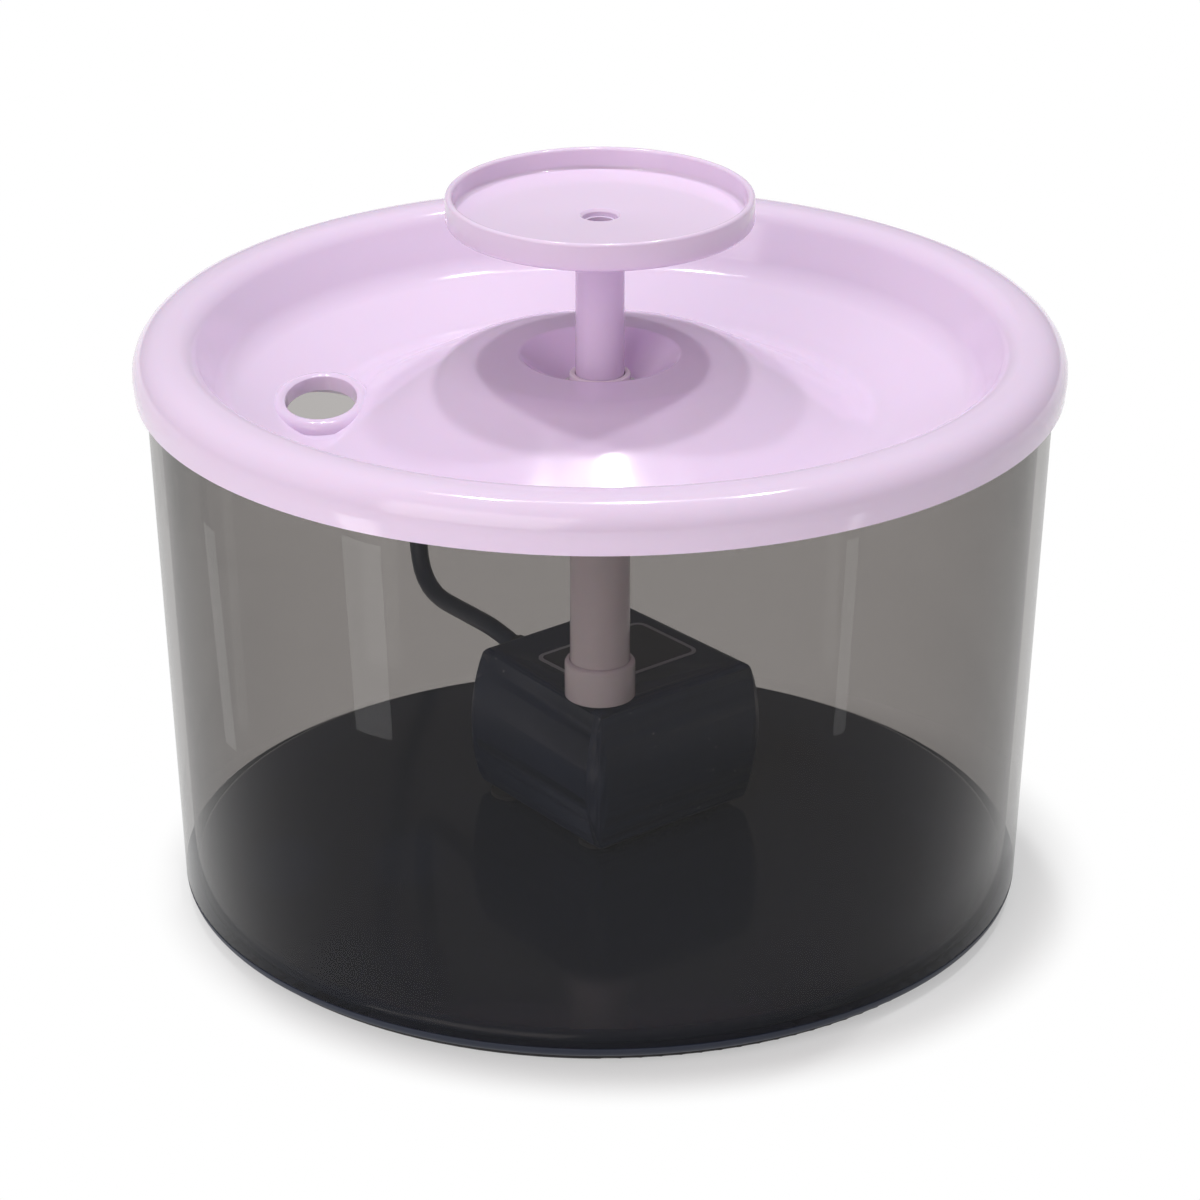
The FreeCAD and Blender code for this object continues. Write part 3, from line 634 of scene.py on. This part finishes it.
def add_block(name, low, high, turn=0.0):
    """Box between two corners in millimetres, turned about Z."""
    deselect()
    centre = [(a + b) / 2 * MM for a, b in zip(low, high)]
    bpy.ops.mesh.primitive_cube_add(size=1.0, location=centre)
    piece = bpy.context.object
    piece.scale = [(b - a) * MM for a, b in zip(low, high)]
    settle(piece, name)
    piece.data.transform(Matrix.Rotation(math.radians(turn), 4, "Z"))
    return piece


def lid_shell():
    """The lid's shell with its ribs, and the return hole cut through."""
    shell = lathe("lid_shell", LID_TOP, closed=False)
    mesh = shell.data
    crown = max(mesh.polygons, key=lambda f: f.center.z)
    if crown.normal.z < 0:
        mesh.flip_normals()
    apply_modifier(shell, "SOLIDIFY", thickness=LID_T * MM, offset=-1.0, use_even_offset=True,
                   use_quality_normals=True)
    x, y = (c * MM for c in HOLE_CENTRE)
    half = ((HOLE_HALF[0] + HOLE_SPARE) * MM, (HOLE_HALF[1] + HOLE_SPARE) * MM, 1)
    deselect()
    bpy.ops.mesh.primitive_cylinder_add(vertices=HOLE_STEPS, radius=1.0, depth=30 * MM,
                                        location=(x, y, LIP_TOP * MM))
    bpy.context.object.scale = half
    cut_away(shell, settle(bpy.context.object, "return_hole_cutter"))
    deselect()
    bpy.ops.mesh.primitive_cone_add(vertices=HOLE_STEPS, radius1=UNDERCUT_WIDER, radius2=1.0,
                                    depth=UNDERCUT_DEEP * MM,
                                    location=(x, y, (LIP_FOOT - UNDERCUT_DEEP / 2) * MM))
    bpy.context.object.scale = half
    cut_away(shell, settle(bpy.context.object, "return_hole_undercut"))
    ribs = [lathe("rib_ring", RIB_RING)]
    for i in range(SEAT_RIBS):
        ribs.append(add_block("seat_rib", *SEAT_RIB, turn=360 * (i + 0.5) / SEAT_RIBS))
    join_to(shell, ribs)
    return shell


def return_hole_lip(shell):
    """Raised lip round the return hole, flared into the trough and the mound."""
    edge, edge_drop = LIP_RINGS[-1]
    rings = [(0.0, LIP_TOP - LIP_FOOT)] + LIP_RINGS
    rings += [(edge + FLARE_WIDTH * (i + 1) / FLARE_RINGS, None) for i in range(FLARE_RINGS)]
    deselect()
    bpy.ops.mesh.primitive_circle_add(vertices=HOLE_STEPS, radius=1.0)
    lip = settle(bpy.context.object, "return_hole_lip")
    bpy.ops.object.mode_set(mode="EDIT")
    bpy.ops.mesh.select_mode(type="EDGE")
    bpy.ops.mesh.select_all(action="SELECT")
    for _ in rings[1:]:
        bpy.ops.mesh.extrude_region()
        bpy.ops.transform.translate(value=(0, 0, 1.0))
    bpy.ops.object.mode_set(mode="OBJECT")
    down = Vector((0, 0, -1))
    for vertex in lip.data.vertices:
        offset, drop = rings[round(vertex.co.z)]
        angle = math.atan2(vertex.co.y, vertex.co.x)
        x = HOLE_CENTRE[0] + (HOLE_HALF[0] + offset) * math.cos(angle)
        y = HOLE_CENTRE[1] + (HOLE_HALF[1] + offset) * math.sin(angle)
        if drop is None:
            share = (offset - edge) / FLARE_WIDTH
            hit, point, _, _ = shell.ray_cast(Vector((x, y, 2 * LIP_TOP)) * MM, down)
            surface = point.z / MM if hit else LIP_TOP - 4
            rise = (1 - share) ** FLARE_CURVE
            z = surface + (LIP_TOP - edge_drop - surface) * rise - FLARE_SINK * share
        else:
            z = LIP_TOP - drop
        vertex.co = Vector((x, y, z)) * MM
    deselect()
    lip.select_set(True)
    bpy.context.view_layer.objects.active = lip
    bpy.ops.object.mode_set(mode="EDIT")
    bpy.ops.mesh.select_all(action="SELECT")
    bpy.ops.mesh.normals_make_consistent(inside=False)
    bpy.ops.object.mode_set(mode="OBJECT")
    top = max(lip.data.polygons, key=lambda f: f.center.z)
    if top.normal.z < 0:
        lip.data.flip_normals()
    return lip


class FOUNTAIN_OT_lid(bpy.types.Operator):
    """Model the lid's shell and the raised lip of its return hole"""
    bl_idname = "fountain.lid"
    bl_label = "Lid"

    def execute(self, context):
        shell = lid_shell()
        lip = return_hole_lip(shell)
        for piece in (shell, lip):
            smooth(piece, 35.0)
            dress(piece, "lilac")
        seat(shell, "lid", "lilac_plastic", "lid")
        seat(lip, "lid", "lilac_plastic")
        return {"FINISHED"}


class FOUNTAIN_OT_dish(bpy.types.Operator):
    """Model the drinking dish and the stem under it"""
    bl_idname = "fountain.dish"
    bl_label = "Dish and stem"

    def execute(self, context):
        for name, corners, node in (("dish_bowl", DISH, "fountain_dish"),
                                    ("dish_stem", STEM, "fountain_stem")):
            piece = lathe(name, corners, steps=128)
            smooth(piece)
            dress(piece, "lilac")
            seat(piece, "dish", "lilac_plastic", node)
        return {"FINISHED"}


class FOUNTAIN_OT_water_way(bpy.types.Operator):
    """Model the riser tube and the collar on the pump's outlet"""
    bl_idname = "fountain.water_way"
    bl_label = "Riser and collar"

    def execute(self, context):
        for name, corners, node, body in (
                ("riser_pipe", RISER, "riser_tube", "dish"),
                ("outlet_collar", COLLAR, "pump_outlet_collar", "tank")):
            piece = lathe(name, corners, steps=96)
            smooth(piece)
            # The riser's lighter lilac is painted light for these parts inside the tank.
            dress(piece, "riser")
            seat(piece, body, "lilac_plastic", node)
        return {"FINISHED"}


class FOUNTAIN_OT_tank(bpy.types.Operator):
    """Model the clear wall with its cord notch, and the black base plate"""
    bl_idname = "fountain.tank"
    bl_label = "Tank and base"

    def execute(self, context):
        wall = lathe("clear_wall", WALL)
        near, far = NOTCH_REACH
        low = NOTCH_FLOOR + NOTCH_HALF
        cut_away(wall, add_block("notch_cutter", (near, -NOTCH_HALF, low),
                                 (far, NOTCH_HALF, NOTCH_TOP), NOTCH_AZIMUTH))
        deselect()
        heading = math.radians(NOTCH_AZIMUTH)
        middle = (near + far) / 2 * MM
        bpy.ops.mesh.primitive_cylinder_add(
            vertices=32, radius=NOTCH_HALF * MM, depth=(far - near) * MM,
            location=(middle * math.cos(heading), middle * math.sin(heading), low * MM),
            rotation=(0, math.pi / 2, heading))
        cut_away(wall, settle(bpy.context.object, "notch_round_cutter"))
        smooth(wall)
        dress(wall, "smoke")
        seat(wall, "tank", "clear_tank", "tank_wall")
        base = lathe("base_floor", BASE, closed=False)
        bpy.ops.object.mode_set(mode="EDIT")
        for r, z, _ in (BASE[0], BASE[-1]):
            edit_select(base, on_ring(r, z))
            bpy.ops.mesh.edge_face_add()
        bpy.ops.mesh.select_all(action="SELECT")
        bpy.ops.mesh.normals_make_consistent(inside=False)
        bpy.ops.object.mode_set(mode="OBJECT")
        smooth(base)
        dress(base, "gloss")
        seat(base, "tank", "black_base", "base_plate")
        dress_node("foot_ring", "rubber")
        return {"FINISHED"}


def pump_place():
    """Matrix that takes the pump's own frame to its real place."""
    centre = Vector((*PUMP_CENTRE, 0)) * MM
    return Matrix.Translation(centre) @ Matrix.Rotation(math.radians(PUMP_TURN), 4, "Z")


def case_spot(u, v, z):
    """Where a point of the plain case goes: outward at mid height and towards +u, save round the
    rotor."""
    reach = max((abs(u) - CORE_U) / GROW_U, (abs(z - CASE_MID) - CORE_Z) / GROW_Z,
                (abs(v) - CORE_V) / GROW_V)
    reach = min(1.0, max(0.0, reach))
    share_u, share_v = u / CASE_CORNER[0], v / CASE_CORNER[1]
    rise = (z - CASE_MID) / CASE_RISE
    bulge = CASE_BULGE * max(0.0, 1 - rise ** 2)
    all_over, by_u, by_v, by_both = CASE_SHIFT
    aside = all_over + by_u * share_u + by_v * share_v + by_both * share_u * share_v
    aside *= SHIFT_MEAN + SHIFT_BY_HEIGHT * max(-1.0, min(1.0, rise))
    return (u + reach * (aside + bulge * share_u),
            v + reach * (CASE_LONGER + bulge) * share_v, z)


def case_shell(node):
    """Copy of one piece of the pump's case, with its sides bulged."""
    deselect()
    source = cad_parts[node]
    piece = source.copy()
    piece.data = source.data.copy()
    piece.parent = None
    piece.matrix_world = source.matrix_world
    bpy.context.scene.collection.objects.link(piece)
    piece.hide_set(False)
    piece.select_set(True)
    bpy.context.view_layer.objects.active = piece
    settle(piece, node + "_shell")
    bpy.ops.object.mode_set(mode="EDIT")
    bpy.ops.mesh.select_mode(type="EDGE")
    bpy.ops.mesh.select_all(action="SELECT")
    bpy.ops.mesh.remove_doubles(threshold=1e-6)
    bpy.ops.mesh.dissolve_limited(angle_limit=math.radians(CASE_FLAT))
    for i in range(CASE_CUTS):
        height = CASE_MID + CASE_RISE * (2 * (i + 1) / (CASE_CUTS + 1) - 1)
        bpy.ops.mesh.select_all(action="SELECT")
        bpy.ops.mesh.bisect(plane_co=(0, 0, height * MM), plane_no=(0, 0, 1))
    bpy.ops.object.mode_set(mode="OBJECT")
    place = pump_place()
    back = place.inverted()
    for vertex in piece.data.vertices:
        if math.hypot(vertex.co.x, vertex.co.y) < OUTLET_KEEP * MM:
            continue
        spot = back @ vertex.co
        vertex.co = place @ (Vector(case_spot(*(c / MM for c in spot))) * MM)
    return piece


class FOUNTAIN_OT_pump(bpy.types.Operator):
    """Bulge the pump's case, give it its finish and put the blank label on its top"""
    bl_idname = "fountain.pump"
    bl_label = "Pump case and label"

    def execute(self, context):
        for node, body in (("pump_housing", "tank"), ("pump_rear_cover", "tank"),
                           ("pump_front_cover", "cover")):
            piece = case_shell(node)
            smooth(piece, 32.0)
            dress(piece, "pump")
            seat(piece, body, "pump_black", node)
        dress_node("chamber_plate", "pump")
        for node in ("chamber_seal", "front_shaft_bush", "rear_shaft_bush", "cord_gland"):
            dress_node(node, "rubber")
        for i in range(4):
            dress_node("pump_foot_%d" % (i + 1), "rubber")
        half_x, half_y = LABEL_SIZE[0] / 2, LABEL_SIZE[1] / 2
        label = add_block("pump_label",
                          (LABEL_AT[0] - half_x, LABEL_AT[1] - half_y, PUMP_TOP + LABEL_GAP),
                          (LABEL_AT[0] + half_x, LABEL_AT[1] + half_y, PUMP_TOP + LABEL_T))
        bpy.ops.object.mode_set(mode="EDIT")
        edit_select(label, lambda e: abs(e.verts[0].co.z - e.verts[1].co.z) > LABEL_T * MM / 2)
        bpy.ops.mesh.bevel(offset=LABEL_CORNER * MM, segments=8, affect="EDGES")
        bpy.ops.mesh.select_mode(type="FACE")
        bpy.ops.mesh.select_all(action="DESELECT")
        mesh = bmesh.from_edit_mesh(label.data)
        for face in mesh.faces:
            face.select = face.normal.z > 0.9
        bmesh.update_edit_mesh(label.data)
        bpy.ops.mesh.inset(thickness=LABEL_BORDER * MM)
        label.data.materials.append(finish_for("label_line"))
        label.data.materials.append(finish_for("label_face"))
        label.active_material_index = 1
        bpy.ops.object.material_slot_assign()
        bpy.ops.object.mode_set(mode="OBJECT")
        label.data.transform(pump_place())
        seat(label, "tank", "pump_black")
        return {"FINISHED"}


class FOUNTAIN_OT_motor(bpy.types.Operator):
    """Give the pieces inside the pump their finishes"""
    bl_idname = "fountain.motor"
    bl_label = "Motor and rotor"

    def execute(self, context):
        finishes = {
            "impeller": "white",
            "rotor_magnet": "ferrite",
            "rotor_shaft": "ceramic",
            "stator_core": "steel",
            "winding_bobbin": "white",
            "motor_winding": "copper",
            "driver_board": "board",
        }
        for node, finish in finishes.items():
            dress_node(node, finish)
        return {"FINISHED"}


def coil_station(k):
    """Radius and height of the coil where its half turn k starts; turn 0 starts at the left."""
    radius = COIL_OUTER - min(k, COIL_IN + 1) * COIL_PITCH / 2
    height = COIL_FLOOR
    if k > COIL_IN:
        height += COIL_PITCH
    if k > COIL_IN + 1:
        radius += COIL_PITCH / 2 + (k - COIL_IN - 1) * COIL_PITCH / 2
    return radius, height


def coil_points():
    """Control points of the coil's turns, as far outside them as the spline cuts inside."""
    points = []
    step = math.pi / POINTS_PER_HALF
    outside = 1 / math.cos(step / 2)
    for k in range(COIL_IN + 1 + COIL_OUT):
        (r0, z0), (r1, z1) = coil_station(k), coil_station(k + 1)
        side = -1 if k % 2 == 0 else 1
        centre_x = COIL_CENTRE[0] + side * (r0 - r1) / 2
        radius = (r0 + r1) / 2 * outside
        for i in range(POINTS_PER_HALF):
            share = (i + 0.5) / POINTS_PER_HALF
            angle = math.pi * share
            points.append((centre_x + side * radius * math.cos(angle),
                           COIL_CENTRE[1] - side * radius * math.sin(angle),
                           z0 + (z1 - z0) * (1 - math.cos(angle)) / 2))
    return points


class FOUNTAIN_OT_cord(bpy.types.Operator):
    """Lay the supply cord from the pump's gland over the rim to its coil and plug"""
    bl_idname = "fountain.cord"
    bl_label = "Cord and plug"

    def execute(self, context):
        place = pump_place()
        mouth = place @ (Vector(GLAND) * MM)
        along = (place.to_3x3() @ Vector((0, 1, 0))) * MM
        first = [mouth - along * GLAND_INSIDE,
                 mouth + along * GLAND_OUTSIDE + Vector((0, 0, GLAND_RISE)) * MM]
        end_r, end_z = coil_station(COIL_IN + 1 + COIL_OUT)
        start = (COIL_CENTRE[0] - COIL_OUTER, COIL_CENTRE[1], COIL_FLOOR)
        end_x = COIL_CENTRE[0] - end_r
        tail = [(end_x, COIL_CENTRE[1], end_z), (end_x, COIL_CENTRE[1] + COIL_TAIL, end_z)]
        route = LEAD + [start] + coil_points() + tail + PLUG_LEAD
        points = first + [Vector(p) * MM for p in route]
        curve = bpy.data.curves.new("supply_cord", "CURVE")
        curve.dimensions = "3D"
        spline = curve.splines.new("NURBS")
        spline.points.add(len(points) - 1)
        for point, place_at in zip(spline.points, points):
            point.co = (*place_at, 1.0)
        spline.order_u = 3
        spline.use_endpoint_u = True
        spline.resolution_u = 6
        curve.bevel_depth = context.scene.fountain_sizes.cord_d / 2
        curve.bevel_resolution = 4
        curve.use_fill_caps = True
        piece = bpy.data.objects.new("supply_cord", curve)
        context.scene.collection.objects.link(piece)
        piece.data.materials.append(finish_for("cord"))
        contacts = ["plug_contact_%d" % (i + 1) for i in range(4)]
        for node in contacts:
            dress_node(node, "gold")
        dress_node("plug_body", "cord")
        dress_node("plug_shell", "nickel")
        dress_node("plug_tongue", "white")
        seat(piece, "tank", "cord_black", "pump_cord", "cord_coil", "plug_lead")
        return {"FINISHED"}


def softbox(name, place, aim, size, power, colour=(1.0, 1.0, 1.0)):
    """Rectangular area lamp at a place, facing a point, both in metres."""
    lamp = bpy.data.lights.new(name, "AREA")
    lamp.color = colour
    lamp.shape = "RECTANGLE"
    lamp.size, lamp.size_y = size
    lamp.energy = power
    holder = bpy.data.objects.new(name, lamp)
    holder.location = place
    holder.rotation_euler = (Vector(aim) - Vector(place)).to_track_quat("-Z", "Y").to_euler()
    holder.visible_camera = False
    bpy.context.scene.collection.objects.link(holder)


def floor_look():
    """Pale floor: keeps the shadow close round the object and fades to white away from it."""
    look = Look("studio_floor", (0.9, 0.9, 0.905), roughness=0.8)
    seen = look.node("ShaderNodeLightPath", out="Is Camera Ray")
    seen = seen + look.node("ShaderNodeLightPath", out="Is Glossy Ray")
    seen = seen + look.node("ShaderNodeLightPath", out="Is Transmission Ray")
    offset = look.node("ShaderNodeVectorMath", {"operation": "SUBTRACT"},
                       {0: look.place(), 1: FADE_CENTRE})
    away = look.node("ShaderNodeVectorMath", {"operation": "LENGTH"}, {0: offset}, out="Value")
    fade = look.node("ShaderNodeMapRange", {"interpolation_type": "SMOOTHSTEP"}, {
        "Value": away, "From Min": FADE_FROM, "From Max": FADE_TO, "To Min": FADE_LEAST,
        "To Max": 1.0})
    white = look.node("ShaderNodeEmission", {}, {"Color": (1, 1, 1, 1), "Strength": 1.0})
    lit = Value(look, look.shader.outputs[0])
    both = look.node("ShaderNodeMixShader", {}, {0: fade * seen, 1: lit, 2: white})
    look.tree.links.new(both.socket, look.output.inputs["Surface"])
    return look.material


class FOUNTAIN_OT_stage(bpy.types.Operator):
    """Set the pale floor, the soft studio lamps and the camera"""
    bl_idname = "fountain.stage"
    bl_label = "Studio"

    def execute(self, context):
        scene = context.scene
        sizes = scene.fountain_sizes
        deselect()
        bpy.ops.mesh.primitive_plane_add(size=FLOOR_SIZE, location=(0, 0, -FLOOR_DROP))
        floor = settle(bpy.context.object, "studio_floor")
        floor.data.materials.append(floor_look())
        for name, place, wide, share in TOP_LAMPS:
            softbox(name, place, AIM, (wide, wide), share * sizes.top_light, COOL)
        name, place, size, power = STRIP_LAMP
        softbox(name, place, AIM, size, power)
        softbox("key_lamp", KEY_PLACE, AIM, KEY_SIZE, sizes.key_light, WARM)
        for name, place, wide, power in CARD_LAMPS:
            softbox(name, place, CARD_AIM, (wide, CARD_TALL), power)
        world = bpy.data.worlds.new("studio_world")
        world.use_nodes = True
        background = world.node_tree.nodes["Background"]
        background.inputs["Color"].default_value = (*WARM, 1)
        background.inputs["Strength"].default_value = WORLD_LIGHT
        scene.world = world
        scene.view_settings.view_transform = "Standard"
        camera = bpy.data.cameras.new("photo_camera")
        camera.sensor_width = 36.0
        camera.lens = CAMERA_LENS
        holder = bpy.data.objects.new("photo_camera", camera)
        holder.location = CAMERA_PLACE
        holder.rotation_euler = (math.radians(CAMERA_TILT), 0, 0)
        scene.collection.objects.link(holder)
        scene.camera = holder
        return {"FINISHED"}


class FOUNTAIN_PT_panel(bpy.types.Panel):
    """Buttons for each piece, and the sizes and colours"""
    bl_idname = "FOUNTAIN_PT_panel"
    bl_label = "Fountain"
    bl_space_type = "VIEW_3D"
    bl_region_type = "UI"
    bl_category = "Fountain"

    def draw(self, context):
        for name in ("lilac", "riser", "black", "base", "smoke", "cord", "label"):
            self.layout.prop(context.scene.fountain_colours, name)
        for name in ("around", "cord_d", "top_light", "key_light"):
            self.layout.prop(context.scene.fountain_sizes, name)
        for operator in OPERATORS:
            self.layout.operator(operator.bl_idname)


OPERATORS = (
    FOUNTAIN_OT_stage,
    FOUNTAIN_OT_lid,
    FOUNTAIN_OT_dish,
    FOUNTAIN_OT_water_way,
    FOUNTAIN_OT_tank,
    FOUNTAIN_OT_pump,
    FOUNTAIN_OT_motor,
    FOUNTAIN_OT_cord,
)
CLASSES = (FountainColours, FountainSizes, *OPERATORS, FOUNTAIN_PT_panel)


def register():
    for item in CLASSES:
        bpy.utils.register_class(item)
    bpy.types.Scene.fountain_colours = PointerProperty(type=FountainColours)
    bpy.types.Scene.fountain_sizes = PointerProperty(type=FountainSizes)


def unregister():
    del bpy.types.Scene.fountain_sizes
    del bpy.types.Scene.fountain_colours
    for item in reversed(CLASSES):
        bpy.utils.unregister_class(item)


def main():
    register()
    bpy.ops.fountain.stage()
    bpy.ops.fountain.lid()
    bpy.ops.fountain.dish()
    bpy.ops.fountain.water_way()
    bpy.ops.fountain.tank()
    bpy.ops.fountain.pump()
    bpy.ops.fountain.motor()
    bpy.ops.fountain.cord()


if __name__ == "__main__":
    main()
